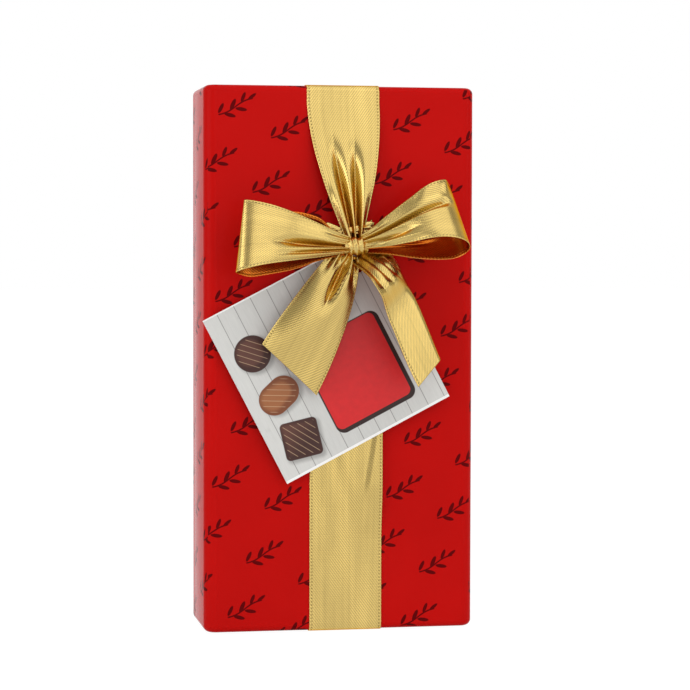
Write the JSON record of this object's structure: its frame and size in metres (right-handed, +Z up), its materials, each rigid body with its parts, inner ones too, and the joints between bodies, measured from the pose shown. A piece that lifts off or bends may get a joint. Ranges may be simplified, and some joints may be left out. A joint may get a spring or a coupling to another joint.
{
  "type": "box of chocolates",
  "caption": "Upright gift box of pralines: base with a formed tray, deep lift-off lid in glossy red paper, gold ribbon tied in a bow, and a folded tag that swings and opens.",
  "frame": {"origin": "under the middle of the lid, on the underside of the ribbon's lower turn, which the box stands on", "axes": "+Z up along the box's height, +X to the right seen from the front, +Y from the lid's face to the base's back"},
  "size_m": [0.0958, 0.0611, 0.1902],
  "materials": {
    "red_paper": "glossy printed paper",
    "grey_board": "raw greyboard",
    "white_liner": "soft embossed paper pad",
    "gold_tray": "formed gold film",
    "dark_chocolate": "satin moulded chocolate",
    "milk_chocolate": "satin moulded chocolate",
    "white_chocolate": "satin moulded chocolate",
    "gold_ribbon": "woven metallic ribbon with stitched edges",
    "gold_cord": "twisted metallic thread",
    "tag_card": "printed satin card",
    "clear_tape": "clear adhesive tape"
  },
  "bodies": {
    "base": {"base_board": "grey_board", "base_wrap": "red_paper", "praline_tray": "gold_tray", "praline_1_dome": "dark_chocolate", "praline_2_square": "milk_chocolate", "praline_3_oval": "white_chocolate", "praline_4_heart": "dark_chocolate", "praline_5_square": "milk_chocolate", "praline_6_oval": "white_chocolate", "praline_7_heart": "dark_chocolate", "praline_8_dome": "dark_chocolate"},
    "lid": {"lid_board": "grey_board", "lid_wrap": "red_paper", "lid_liner": "white_liner", "ribbon_upper": "gold_ribbon", "ribbon_lower": "gold_ribbon", "band_knot": "gold_ribbon", "ribbon_tape_top": "clear_tape", "ribbon_tape_bottom": "clear_tape", "bow_knot": "gold_ribbon", "bow_loop_left": "gold_ribbon", "bow_loop_right": "gold_ribbon", "tag_cord": "gold_cord"},
    "left_tail": {"bow_tail_left": "gold_ribbon"},
    "right_tail": {"bow_tail_right": "gold_ribbon"},
    "tag": {"tag_back_leaf": "tag_card"},
    "tag_leaf": {"tag_front_leaf": "tag_card"}
  },
  "joints": [
    {"name": "lid_lift", "type": "slide", "parent": "base", "child": "lid", "axis": [0, -1, 0], "range_m": [0, 0.08]},
    {"name": "tag_swing", "type": "hinge", "parent": "lid", "child": "tag", "pos_m": [0.0055, -0.0192, 0.1285], "axis": [0, 1, 0], "range_deg": [-12, 12]},
    {"name": "tag_open", "type": "hinge", "parent": "tag", "child": "tag_leaf", "pos_m": [0.00181, -0.0194, 0.1343], "axis": [-0.887, 0, -0.4617], "range_deg": [0, 25]},
    {"name": "left_tail_lift", "type": "hinge", "parent": "lid", "child": "left_tail", "pos_m": [0.0001, -0.028, 0.1299], "axis": [-0.8907, 0, 0.4547], "range_deg": [0, 33]},
    {"name": "right_tail_lift", "type": "hinge", "parent": "lid", "child": "right_tail", "pos_m": [0.0056, -0.028, 0.1299], "axis": [-0.8249, 0, -0.5653], "range_deg": [0, 33]}
  ],
  "couplings": [
    {"joint": "left_tail_lift", "follows": "tag_open", "ratio": 1.3},
    {"joint": "right_tail_lift", "follows": "tag_open", "ratio": 1.3}
  ]
}
